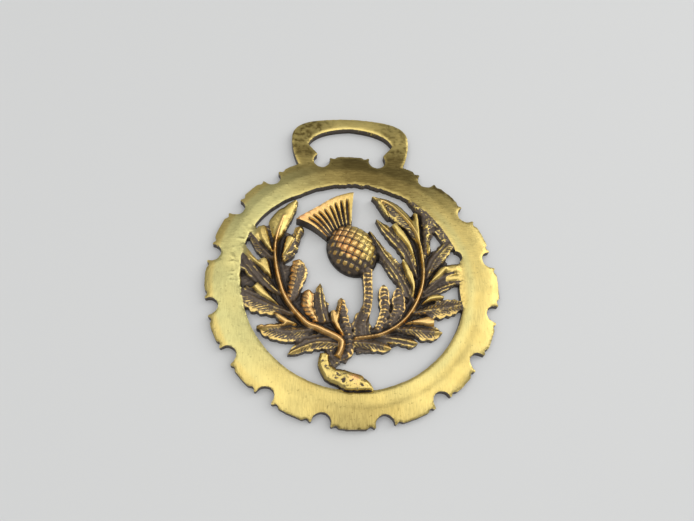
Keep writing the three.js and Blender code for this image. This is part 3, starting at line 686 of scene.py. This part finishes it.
def add_hanger(relief):
    top = RING_RADIUS + HANGER_RISE
    root = (RING_RADIUS + OPENING_RADIUS) / 2
    wide, neck = HANGER_WIDTH / 2, HANGER_NECK / 2
    start = (neck, root)
    shoulder = (wide, RING_RADIUS + 0.45 * HANGER_RISE)
    corner = (0.7 * wide, top - 0.1 * HANGER_RISE)
    outer = mirrored([
        [start],
        bend(start, (wide, RING_RADIUS), shoulder),
        bend(shoulder, (wide, top - 0.22 * HANGER_RISE), corner),
        bend(corner, (0.4 * wide, top), (0, top)),
    ])
    slot_top = RING_RADIUS + SLOT_RISE
    point = (SLOT_WIDTH / 2, RING_RADIUS + 0.4 * SLOT_RISE)
    slot = mirrored([
        [(SLOT_MOUTH / 2, root - 1), (SLOT_MOUTH / 2, RING_RADIUS + 0.05 * SLOT_RISE), point],
        bend(point, (0.85 * point[0], slot_top - 0.08 * SLOT_RISE), (0, slot_top)),
    ])
    where = relief.window((-wide - 1, root - 1), (wide + 1, top + 1))
    x, y = relief.x[where], relief.y[where]
    outline = np.maximum(loop_distance(x, y, outer), -loop_distance(x, y, slot))
    outline = bitten(outline, x, y, NOTCH_BEARINGS[3:5], NOTCH_DISTANCE, NOTCH_RADIUS)
    surface = HANGER_HEIGHT + 0.05 * noise(x, y, 5, 3) + 0.015 * noise(x, y, 1.6, 4)
    relief.lay(where, outline, surface, 1.0, 0.0, HANGER_ROUNDING)


def turned(x, y, angle):
    """Plan places from axes turned by an angle."""
    cos, sin = math.cos(angle), math.sin(angle)
    return x * cos + y * sin, y * cos - x * sin


def add_bulb(relief):
    """Half an egg, set with rows of square studs that follow its surface."""
    middle = np.array(BULB_MIDDLE) * SHARE
    half_width, half_length = BULB_WIDTH / 2, BULB_LENGTH / 2
    where = relief.window(middle - half_length - 1, middle + half_length + 1)
    x, y = relief.x[where] - middle[0], relief.y[where] - middle[1]
    across, along = turned(x, y, BULB_LEAN)
    reach = np.hypot(across / half_width, along / half_length)
    top = (BULB_HEIGHT - STUD_PROUD) * np.sqrt(np.clip(1 - reach**2, 0.02, 1))
    outline = (reach - 1) * half_width
    rows = []
    for distance, pitch in zip(turned(x, y, STUD_TURN), STUD_PITCH):
        wrapped = np.arcsin(np.clip(distance / half_length, -0.999, 0.999)) * half_length / pitch
        rows.append(np.abs(wrapped - np.round(wrapped)))
    stud = smooth(*STUD_SIDE, rows[0]) * smooth(*STUD_SIDE, rows[1])
    core = smooth(*STUD_CORE, rows[0]) * smooth(*STUD_CORE, rows[1])
    shown = smooth(1.02, 0.9, reach)
    yellow = smooth(-3.5, 3.5, x + 0.3 * y)
    worn = smooth(0, 3.5, x + 0.4 * y) * smooth(0.95, 0.7, reach)
    top = top + STUD_PROUD * stud * shown - STUD_GAP * (1 - 0.9 * worn) * (1 - stud) * shown
    # Painted shade: the studs count as less rubbed, so darker and less coppery, towards the egg's edge and
    # most of all on its lower-left side.
    lower_left = np.clip(-(0.6 * x + 0.8 * y) / half_length, 0, 1)
    rubbed = smooth(0.97, 0.8, reach + 0.7 * lower_left + 0.1 * smooth(0, 3, x))
    # Painted highlight: core * (1 - rubbed) lights up the cores of the studs that are not rubbed.
    bright = 0.02 + 0.45 * worn * (1 - stud) + stud * rubbed * 0.95 + core * (1 - rubbed) * 0.45
    copper = (0.8 - 0.75 * yellow) * (0.4 + 0.6 * rubbed)
    relief.lay(where, outline, top, bright, copper, BULB_ROUNDING)


def along_line(line, t):
    """Places at shares t of a line."""
    return np.stack([np.interp(t, np.linspace(0, 1, len(line)), line[:, k]) for k in (0, 1)])


def along_chord(line, t):
    """Places at shares t of the straight way between a line's ends."""
    return line[0][:, None, None] * (1 - t) + line[-1][:, None, None] * t


def fan_point(u, v, edges):
    """A place on the petals: u from the left edge to the right, v from the neck to the top."""
    left, right, top, neck = edges
    sides = along_line(left, v) * (1 - u) + along_line(right, v) * u
    ends = along_line(neck, u) * (1 - v) + along_line(top, u) * v
    return sides + ends - (along_chord(neck, u) * (1 - v) + along_chord(top, u) * v)


def crossed(a, b):
    return a[0] * b[1] - a[1] * b[0]


def add_fan(relief):
    """The petals: u and v are found for each place by Newton's steps, and the grooves follow them."""
    edges = [curve(points)[0] for points in (FAN_LEFT, FAN_RIGHT, FAN_TOP, FAN_NECK)]
    every = np.vstack(edges)
    where = relief.window(every.min(0) - 1, every.max(0) + 1)
    goal = np.stack([relief.x[where], relief.y[where]])
    u = v = np.full(goal[0].shape, 0.5)
    nudge = 0.01
    for _ in range(8):
        here = fan_point(u, v, edges)
        by_u = (fan_point(u + nudge, v, edges) - here) / nudge
        by_v = (fan_point(u, v + nudge, edges) - here) / nudge
        miss = goal - here
        area = crossed(by_u, by_v)
        area = np.where(np.abs(area) < 1, 1, area)
        u = np.clip(u + crossed(miss, by_v) / area, -0.2, 1 - 2 * nudge)
        v = np.clip(v + crossed(by_u, miss) / area, -0.2, 1 - 2 * nudge)
    corners = np.vstack([edges[3][:1], edges[1], edges[2][::-1], edges[0][::-1]])
    outline = loop_distance(*goal, corners)
    groove = 0.5 + 0.5 * np.cos(2 * math.pi * FAN_RIBS * u)
    taper = 0.05 + np.clip(v / FAN_GROOVE_END, 0, 1) ** 2
    groove = smooth(taper - 0.12, taper + 0.2, groove) * smooth(0.02, 0.04, u) * smooth(0.97, 0.95, u)
    wedge = smooth(1.2, 0.8, np.abs(u - 0.5) / (0.01 + 0.05 * v))
    rib = 1 - groove * (1 - wedge)
    band = smooth(0.78, 0.88, v)
    top = FAN_NECK_HEIGHT + (FAN_HEIGHT - FAN_NECK_HEIGHT) * v - FAN_GROOVE * (1 - rib)
    bright = 0.95 * rib * smooth(-0.2, 0.3, v)
    relief.lay(where, outline, top, bright, (0.9 - 0.75 * u) * (0.5 + 0.5 * band), FAN_ROUNDING)


def add_cord(relief, face, path, widths, *heights, **form):
    """A strip that looks the same left and right of its middle."""
    add_blade(relief, (face, face), path, (widths, widths), *heights, **form)


def add_wreath(relief):
    """Webs lowest, then leaves, folds, branches, the stem and the cut foot."""
    for width, path in WEBS:
        add_cord(relief, "hollow", path, (width, width), WEB_HEIGHT, WEB_HEIGHT + WEB_SWELL)
    for path, _, widths in BRANCHES:
        add_blade(relief, ("web", "web"), path, widths, WEB_HEIGHT, WEB_HEIGHT + 2 * WEB_SWELL)
    for face, width, path in BRIDGES:
        lower = ROUGH_DROP if face == "rough" else 0.0
        add_cord(relief, face, path, (width, width), OPENING_RIM_HEIGHT - lower, RING_CROWN_HEIGHT - lower)
    for left, right, path, *widths in LEAVES:
        smooth_leaf = "gold" in (left, right)
        tip = TIP_ROUND if math.hypot(*path[-1]) < RING_MEETS else 0.0
        fullness = SMOOTH_LEAF_FULLNESS if smooth_leaf else LEAF_FULLNESS
        add_blade(relief, (left, right), path, widths, LEAF_EDGE_HEIGHT, LEAF_CREST_HEIGHT,
                  fullness=fullness, lobed=not smooth_leaf, tip=tip)
    for face, path, *widths in FOLDS:
        add_blade(relief, (face, face), path, widths, FOLD_EDGE_HEIGHT, FOLD_HEIGHT,
                  rounding=CORD_ROUNDING, fullness=CORD_FULLNESS)
    for path, bark, _ in BRANCHES:
        add_cord(relief, "bark", path, bark, BRANCH_EDGE_HEIGHT, BRANCH_HEIGHT, rounding=CORD_ROUNDING)
    add_cord(relief, "stem", *STEM, BRANCH_EDGE_HEIGHT, BRANCH_HEIGHT)
    add_cord(relief, "tie", *TIE, LEAF_EDGE_HEIGHT, FOOT_HEIGHT)
    add_cord(relief, "foot", *FOOT, LEAF_EDGE_HEIGHT, FOOT_HEIGHT, fullness=CORD_FULLNESS)
    add_cord(relief, "gold", *CURL, LEAF_EDGE_HEIGHT, FOOT_HEIGHT, fullness=CORD_FULLNESS)


def build_relief():
    """Lays each form over those before it, then wears, marks and softens the whole, and paints shade into
    it.
    """
    relief = Relief()
    for step in (add_hanger, add_wreath, add_ring, polish, add_fan, add_bulb, add_flaws, finish_surface,
                 add_tarnish):
        step(relief)
    return relief


def blurred_inside(field, inside, reach):
    """A field averaged over the metal only."""
    weight = blurred(inside.astype(float), reach)
    return blurred(np.where(inside, field, 0), reach) / np.maximum(weight, 1e-3)


def polish(relief):
    """Wears the bright places smooth, so that folds and links run into the ring."""
    inside = (relief.outline < 0) & (relief.height > 0)
    worn = smooth(0.55, 0.95, blurred(np.clip(relief.rubbed, 0, 1), 0.3)) * inside
    near_ring = smooth(*SOFTENING, relief.radius)
    smoothed = blurred_inside(relief.height, inside, 0.15) * (1 - near_ring)
    smoothed += blurred_inside(relief.height, inside, 0.45) * near_ring
    relief.height += worn * (smoothed - relief.height)


def add_flaws(relief):
    """Pits in the foot, the gouge below it, and the rough casting inside the ring's left side."""
    x, y = relief.x, relief.y
    for px, py, size in FOOT_PITS:
        pit = smooth(size, 0.4 * size, np.hypot(x - px, y - py) + 0.12 * noise(x, y, 0.5, 15))
        relief.height -= PIT_DEPTH * pit
        relief.rubbed -= pit
    px, py, size = FOOT_BLUSH
    blush = bump(np.hypot(x - px, y - py), 0, size) * smooth(-0.3, 0.2, noise(x, y, 0.7, 35))
    relief.copper += 0.9 * blush
    (left, right), level, size = GOUGE
    t = (x - left) / (right - left)
    arch = 0.25 * np.sin(math.pi * np.clip(t, 0, 1))
    off = np.abs(y - level + arch + 0.12 * noise(x, y, 0.9, 16))
    gouge = smooth(size, 0.1, off) * smooth(0, 0.15, t) * smooth(1, 0.85, t)
    relief.height -= GOUGE_DEPTH * gouge
    relief.rubbed -= 1.1 * gouge
    patch = bump(relief.radius, *WORM_STRIP) * bump(np.arctan2(y, -x), *WORM_MARKS) * (x < 0)
    relief.worm = smooth(0.3, 0.05, np.abs(noise(x, y, 1.3, 17))) * patch
    relief.height += WORM_HEIGHT * relief.worm


def finish_surface(relief):
    """Softens creases as a casting does, works out where the metal stands proud and is rubbed, and where
    painted shade darkens its low places.
    """
    x, y = relief.x, relief.y
    inside = (relief.outline < 0) & (relief.height > 0)
    softened = blurred_inside(relief.height, inside, STEP)
    polished = smooth(0.6, 0.95, relief.rubbed)
    grain = 0.05 * noise(x, y, 0.45, 6) + 0.05 * noise(x, y, 0.9, 7)
    relief.height = np.where(relief.outline < 0.3, softened + grain * (1 - 0.85 * polished), 0)
    around = blurred(np.where(inside, relief.height, 0.8), 1.0)
    proud = relief.height - around
    # Painted shade: unpolished metal lower than its surroundings gets a hollow share that darkens it towards
    # near black.
    relief.hollow = smooth(0.05, -0.5, proud) * (1 - polished)
    worn = relief.rubbed + 0.45 * smooth(0.0, 0.8, proud) - 0.25 * smooth(0.1, -0.5, proud)
    relief.shine = np.clip(worn + 0.08 * noise(x, y, 0.45, 8) + 0.1 * noise(x, y, 1.5, 34), 0, 1)
    relief.copper *= 1 - 0.7 * smooth(-2, 10, y) * smooth(4, 12, x)


def add_tarnish(relief):
    """How far the bright metal is browned, by tarnish and, along the band's top, by painted shade, and how
    far it has gone pale and greenish.
    """
    x, y, radius = relief.x, relief.y, relief.radius
    cloud = noise(x, y, 5, 23) + 0.5 * noise(x, y, 2, 24)
    on_ring = smooth(OPENING_RADIUS - 1, OPENING_RADIUS + 0.5, radius)
    on_hanger = smooth(RING_RADIUS - 1.5, RING_RADIUS + 1.5, y)
    # Painted shade: the band is browned along its top.
    top = bump(relief.bearing, *BROWN_TOP) * on_ring * (1 - on_hanger)
    flecks = smooth(-0.1, 0.5, noise(x, y, 0.7, 26) + 0.6 * noise(x, y, 0.35, 27))
    sides = 0.75 * smooth(4, 11, x) + smooth(-1, -10, x)
    roots = smooth(RING_RADIUS + 5, RING_RADIUS, y)
    hanger = on_hanger * (-0.16 + 0.6 * sides + 0.5 * flecks * (0.1 + 0.9 * sides) + 0.35 * roots)
    chipped = bump(relief.bearing, *CHIPPED_SIDE) * smooth(RING_RADIUS - 2.4, RING_RADIUS - 0.7, radius)
    foot = bump(relief.bearing, *BROWN_FOOT) * (0.24 + 0.3 * smooth(31, 35, radius)) * on_ring
    brown = 0.06 + 0.95 * top + foot + hanger + 0.6 * chipped * smooth(-0.3, 0.4, noise(x, y, 0.8, 25))
    brown -= 0.3 * smooth(-0.9, -0.2, relief.outline) * (top + on_hanger)
    relief.tarnish = np.clip(brown + 0.08 * cloud - 0.2 * relief.worm, 0, 1)
    left = smooth(1.35, 0.6, np.abs(np.arctan2(y, -x) - PALE_LEFT))
    inner = smooth(RING_RADIUS - 1.4, RING_RADIUS - 2.6, radius)
    right = smooth(1.3, 0.6, np.abs(relief.bearing - PALE_RIGHT)) * bump(radius, *PALE_RIGHT_STRIP)
    relief.pale = np.clip((0.75 * left * inner + 0.5 * right + 0.15 + 0.12 * cloud) * on_ring, 0, 1)
    relief.crosswise = smooth(-2, 14, y)


def dilated(mask):
    for _ in range(2):
        grown = mask.copy()
        grown[1:] |= mask[:-1]
        grown[:-1] |= mask[1:]
        mask = grown.T
    return mask


def joined_cells(relief):
    """The grid cells inside the outline, with hair cracks closed and only what hangs together kept."""
    outline = relief.outline
    cells = outline[:-1, :-1] + outline[1:, :-1] + outline[:-1, 1:] + outline[1:, 1:] < 0
    closed = cells
    for _ in range(round(CRACK / STEP)):
        closed = dilated(closed)
    for _ in range(round(CRACK / STEP)):
        closed = ~dilated(~closed)
    cells |= closed
    for _ in range(CORNER_ROUNDS):
        a, b = cells[:-1, :-1], cells[1:, 1:]
        c, d = cells[1:, :-1], cells[:-1, 1:]
        crossing = (a & b & ~c & ~d) | (c & d & ~a & ~b)
        for part in (a, b, c, d):
            part |= crossing
    reached = np.zeros_like(cells)
    ring_cell = int((RING_RADIUS + OPENING_RADIUS) / 2 / STEP)
    centre = [int(-axis[0, 0] / STEP) for axis in (relief.x, relief.y)]
    reached[centre[0] + ring_cell, centre[1]] = True
    while True:
        grown = dilated(reached) & cells
        if (grown == reached).all():
            return reached
        reached = grown


def snapped(relief, border):
    """Plan places with the outline's own vertices moved onto the outline."""
    gx, gy = np.gradient(relief.outline, STEP)
    steep = np.maximum(gx**2 + gy**2, 0.2)
    reach = 0.6 * STEP
    away = np.clip(relief.outline / steep, -reach, reach) * border
    return relief.x - away * gx, relief.y - away * gy


def relief_mesh(relief):
    """The casting as one closed mesh in metres: face, flat back and the walls between them."""
    cells = joined_cells(relief)
    padded = np.pad(cells, 1)
    corners = [padded[:-1, :-1], padded[1:, :-1], padded[:-1, 1:], padded[1:, 1:]]
    used = np.logical_or.reduce(corners)
    border = used & ~np.logical_and.reduce(corners)
    x, y = snapped(relief, border)
    number = np.full(used.shape, -1)
    count = int(used.sum())
    number[used] = np.arange(count)
    height = np.maximum(relief.height, LEAST_HEIGHT)
    top = np.stack([x[used], y[used] + RING_MIDDLE_Y, height[used]], axis=1)
    top = np.clip(top, np.array(LOW) / MM, np.array(HIGH) / MM)
    back = top * (1, 1, 0)
    i, j = np.nonzero(cells)
    square = np.stack([number[i, j], number[i + 1, j], number[i + 1, j + 1], number[i, j + 1]], axis=1)
    faces = [square, square[:, ::-1] + count]
    sides = (
        ((0, -1), (0, 0), (1, 0)), ((1, 0), (1, 0), (1, 1)),
        ((0, 1), (1, 1), (0, 1)), ((-1, 0), (0, 1), (0, 0)),
    )
    for (di, dj), (ai, aj), (bi, bj) in sides:
        open_side = ~padded[i + 1 + di, j + 1 + dj]
        p, q = i[open_side], j[open_side]
        a, b = number[p + ai, q + aj], number[p + bi, q + bj]
        faces.append(np.stack([b, a, a + count, b + count], axis=1))
    faces = np.vstack(faces)
    mesh = bpy.data.meshes.new("horse_brass_relief")
    mesh.from_pydata((np.vstack([top, back]) * MM).tolist(), [], faces.tolist())
    mesh.validate()
    return mesh


def sampled(field, relief, x, y):
    """A field's values at plan places."""
    u = np.clip((x - relief.x[0, 0]) / STEP, 0, field.shape[0] - 1.001)
    v = np.clip((y - relief.y[0, 0]) / STEP, 0, field.shape[1] - 1.001)
    i, j = u.astype(int), v.astype(int)
    return between(field, i, j, u - i, v - j)


def store(mesh, name, values):
    attribute = mesh.attributes.new(name, "FLOAT", "POINT")
    attribute.data.foreach_set("value", np.ascontiguousarray(values, np.float32))


def make_casting(relief, material):
    mesh = relief_mesh(relief)
    casting = bpy.data.objects.new("horse_brass_casting", mesh)
    bpy.context.scene.collection.objects.link(casting)
    bpy.context.view_layer.objects.active = casting
    triangles = 2 * len(mesh.polygons)
    if triangles > MOST_TRIANGLES:
        thinning = casting.modifiers.new("thinning", "DECIMATE")
        thinning.ratio = MOST_TRIANGLES / triangles
        depsgraph = bpy.context.evaluated_depsgraph_get()
        thinned = bpy.data.meshes.new_from_object(casting.evaluated_get(depsgraph))
        casting.modifiers.clear()
        casting.data = thinned
        bpy.data.meshes.remove(mesh)
        mesh = thinned
        mesh.name = "horse_brass_relief"
    places = np.zeros(len(mesh.vertices) * 3, np.float32)
    mesh.vertices.foreach_get("co", places)
    places = places.reshape(-1, 3) / MM
    x, y = places[:, 0], places[:, 1] - RING_MIDDLE_Y
    # Walls take WALL_LOOKS, whose dark values are painted shade.
    face = smooth(0.1, 0.7, places[:, 2] - sampled(relief.height, relief, x, y) + 0.9)
    for name, on_wall in WALL_LOOKS.items():
        on_face = sampled(getattr(relief, name), relief, x, y)
        store(mesh, name, on_face * face + on_wall * (1 - face))
    for name in ("pale", "crosswise"):
        store(mesh, name, sampled(getattr(relief, name), relief, x, y))
    mesh.polygons.foreach_set("use_smooth", [True] * len(mesh.polygons))
    mesh.set_sharp_from_angle(angle=math.radians(50))
    mesh.materials.append(material)
    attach(casting, "root")
    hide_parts("horse_brass")


class Shader:
    """A short way to write a node material."""

    def __init__(self, name):
        self.material = bpy.data.materials.new(name)
        self.material.use_nodes = True
        self.nodes = self.material.node_tree.nodes
        self.links = self.material.node_tree.links
        self.surface = self.nodes["Principled BSDF"]

    def node(self, kind, settings=None, **inputs):
        made = self.nodes.new(kind)
        for key, value in (settings or {}).items():
            setattr(made, key, value)
        for key, value in inputs.items():
            self.put(made.inputs[key], value)
        return made

    def put(self, socket, value):
        if hasattr(value, "is_output"):
            self.links.new(value, socket)
        else:
            socket.default_value = value

    def attribute(self, name):
        return self.node("ShaderNodeAttribute", {"attribute_name": name}).outputs["Fac"]

    def noise(self, scale, detail=3.0, roughness=0.55, stretch=(1, 1, 1)):
        place = self.node("ShaderNodeTexCoord").outputs["Object"]
        mapped = self.node("ShaderNodeMapping", Vector=place, Scale=stretch).outputs[0]
        sockets = {"Scale": scale, "Detail": detail, "Roughness": roughness}
        return self.node("ShaderNodeTexNoise", Vector=mapped, **sockets).outputs["Fac"]

    def spread(self, value, from_low, from_high, to_low, to_high):
        sockets = {"From Min": from_low, "From Max": from_high, "To Min": to_low, "To Max": to_high}
        settings = {"interpolation_type": "SMOOTHSTEP"}
        return self.node("ShaderNodeMapRange", settings, Value=value, **sockets).outputs["Result"]

    def maths(self, operation, a, b=0.0, clamp=False):
        made = self.node("ShaderNodeMath", {"operation": operation, "use_clamp": clamp})
        self.put(made.inputs[0], a)
        self.put(made.inputs[1], b)
        return made.outputs[0]

    def mixed(self, share, a, b):
        made = self.node("ShaderNodeMix", {"data_type": "RGBA"})
        self.put(made.inputs["Factor"], share)
        self.put(made.inputs[6], a)
        self.put(made.inputs[7], b)
        return made.outputs[2]


def brass_material():
    s = Shader("aged_brass")
    fleck = s.spread(s.noise(1800, 4), 0.3, 0.7, -0.12, 0.12)
    cloud = s.noise(160)
    # Painted shade: steep sides keep only a small share of their shine, so walls come out dark; flat faces
    # keep all of it.
    normal = s.node("ShaderNodeNewGeometry").outputs["Normal"]
    level = s.maths("ABSOLUTE", s.node("ShaderNodeSeparateXYZ", Vector=normal).outputs["Z"])
    steep_side_shading = s.spread(level, 0.12, 0.42, 0.15, 1.0)
    worn = s.maths("ADD", s.maths("MULTIPLY", s.attribute("shine"), steep_side_shading), fleck)
    bright = s.spread(worn, 0.32, 0.66, 0.0, 1.0)
    gold = s.mixed(s.spread(cloud, 0.35, 0.65, 0, 1), DEEP_BRASS, YELLOW_BRASS)
    gold = s.mixed(s.attribute("pale"), gold, PALE_BRASS)
    gold = s.mixed(s.attribute("copper"), gold, COPPER_RED)
    specks = s.spread(s.noise(1300, 2), 0.62, 0.72, 0.0, 0.3)
    lengthwise = s.noise(1200, 3, 0.6, (3, 0.35, 1))
    crosswise = s.noise(1200, 3, 0.6, (0.35, 3, 1))
    brushed = s.mixed(s.attribute("crosswise"), lengthwise, crosswise)
    brushed = s.spread(brushed, 0.35, 0.65, -0.1, 0.1)
    # The tarnish share also carries the painted shade along the band's top.
    brown_share = s.maths("ADD", s.maths("ADD", s.attribute("tarnish"), specks), brushed, clamp=True)
    gold = s.mixed(brown_share, gold, TARNISH_AND_SHADE_BROWN)
    brown = s.mixed(s.noise(900), PATINA_DARK, PATINA_LIGHT)
    # Painted shade: the hollow share darkens low places and walls towards near black.
    dark = s.mixed(s.attribute("hollow"), brown, HOLLOW_SHADE_BLACK)
    s.put(s.surface.inputs["Base Color"], s.mixed(bright, dark, gold))
    s.put(s.surface.inputs["Metallic"], s.spread(bright, 0.0, 0.6, 0.4, 1.0))
    s.put(s.surface.inputs["Roughness"], s.spread(bright, 0.0, 1.0, 0.42, 0.3))
    grain = s.node("ShaderNodeBump", Strength=0.4, Distance=0.00008, Height=s.noise(2200, 5, 0.6))
    scratches = s.noise(1100, 4, 0.6, (3.5, 0.3, 1))
    marks = s.node("ShaderNodeBump", Strength=0.25, Distance=0.00006, Height=scratches,
                   Normal=grain.outputs[0])
    s.put(s.surface.inputs["Normal"], marks.outputs[0])
    return s.material


def floor_material():
    s = Shader("pale_floor")
    s.put(s.surface.inputs["Base Color"], FLOOR_COLOUR)
    s.put(s.surface.inputs["Roughness"], 0.7)
    return s.material


def make_floor():
    mesh = bpy.data.meshes.new("floor")
    corners = [(x * FLOOR_REACH, y * FLOOR_REACH, 0) for x, y in ((-1, -1), (1, -1), (1, 1), (-1, 1))]
    mesh.from_pydata(corners, [], [(0, 1, 2, 3)])
    mesh.materials.append(floor_material())
    floor = bpy.data.objects.new("floor", mesh)
    bpy.context.scene.collection.objects.link(floor)


def in_metres(x, y, z):
    """A place in millimetres from the ring's centre, as metres from the solid's origin."""
    return Vector((x, y + RING_MIDDLE_Y, z)) * MM


def make_camera():
    height, side = VIEW_HEIGHT_ANGLE, VIEW_SIDE_ANGLE
    back = Vector((math.sin(side) * math.cos(height), -math.cos(side) * math.cos(height), math.sin(height)))
    level = (-back).cross(Vector((0, 0, 1))).normalized()
    upward = level.cross(-back)
    right = level * math.cos(VIEW_ROLL) + upward * math.sin(VIEW_ROLL)
    up = upward * math.cos(VIEW_ROLL) - level * math.sin(VIEW_ROLL)
    lens = bpy.data.cameras.new("camera")
    lens.sensor_width = SENSOR_WIDTH
    lens.lens = SENSOR_WIDTH * FOCAL_PIXELS / IMAGE_WIDTH
    lens.clip_start = 0.01
    camera = bpy.data.objects.new("camera", lens)
    pose = Matrix((right, up, back)).transposed().to_4x4()
    pose.translation = in_metres(*VIEW_TARGET) + back * VIEW_DISTANCE * MM
    camera.matrix_world = pose
    bpy.context.scene.collection.objects.link(camera)
    bpy.context.scene.camera = camera


def area_light(name, place, size, power):
    light = bpy.data.lights.new(name, "AREA")
    light.shape = "RECTANGLE"
    light.size, light.size_y = size
    light.energy = power
    lamp = bpy.data.objects.new(name, light)
    lamp.location = place
    lamp.rotation_euler = (-Vector(place)).to_track_quat("-Z", "Y").to_euler()
    bpy.context.scene.collection.objects.link(lamp)


def make_lights():
    world = bpy.data.worlds.new("studio")
    world.use_nodes = True
    world.node_tree.nodes["Background"].inputs["Color"].default_value = WORLD_COLOUR
    world.node_tree.nodes["Background"].inputs["Strength"].default_value = WORLD_STRENGTH
    bpy.context.scene.world = world
    for light in LIGHTS:
        area_light(*light)


bpy.context.scene.view_settings.view_transform = "Standard"
make_camera()
make_casting(build_relief(), brass_material())
make_floor()
make_lights()
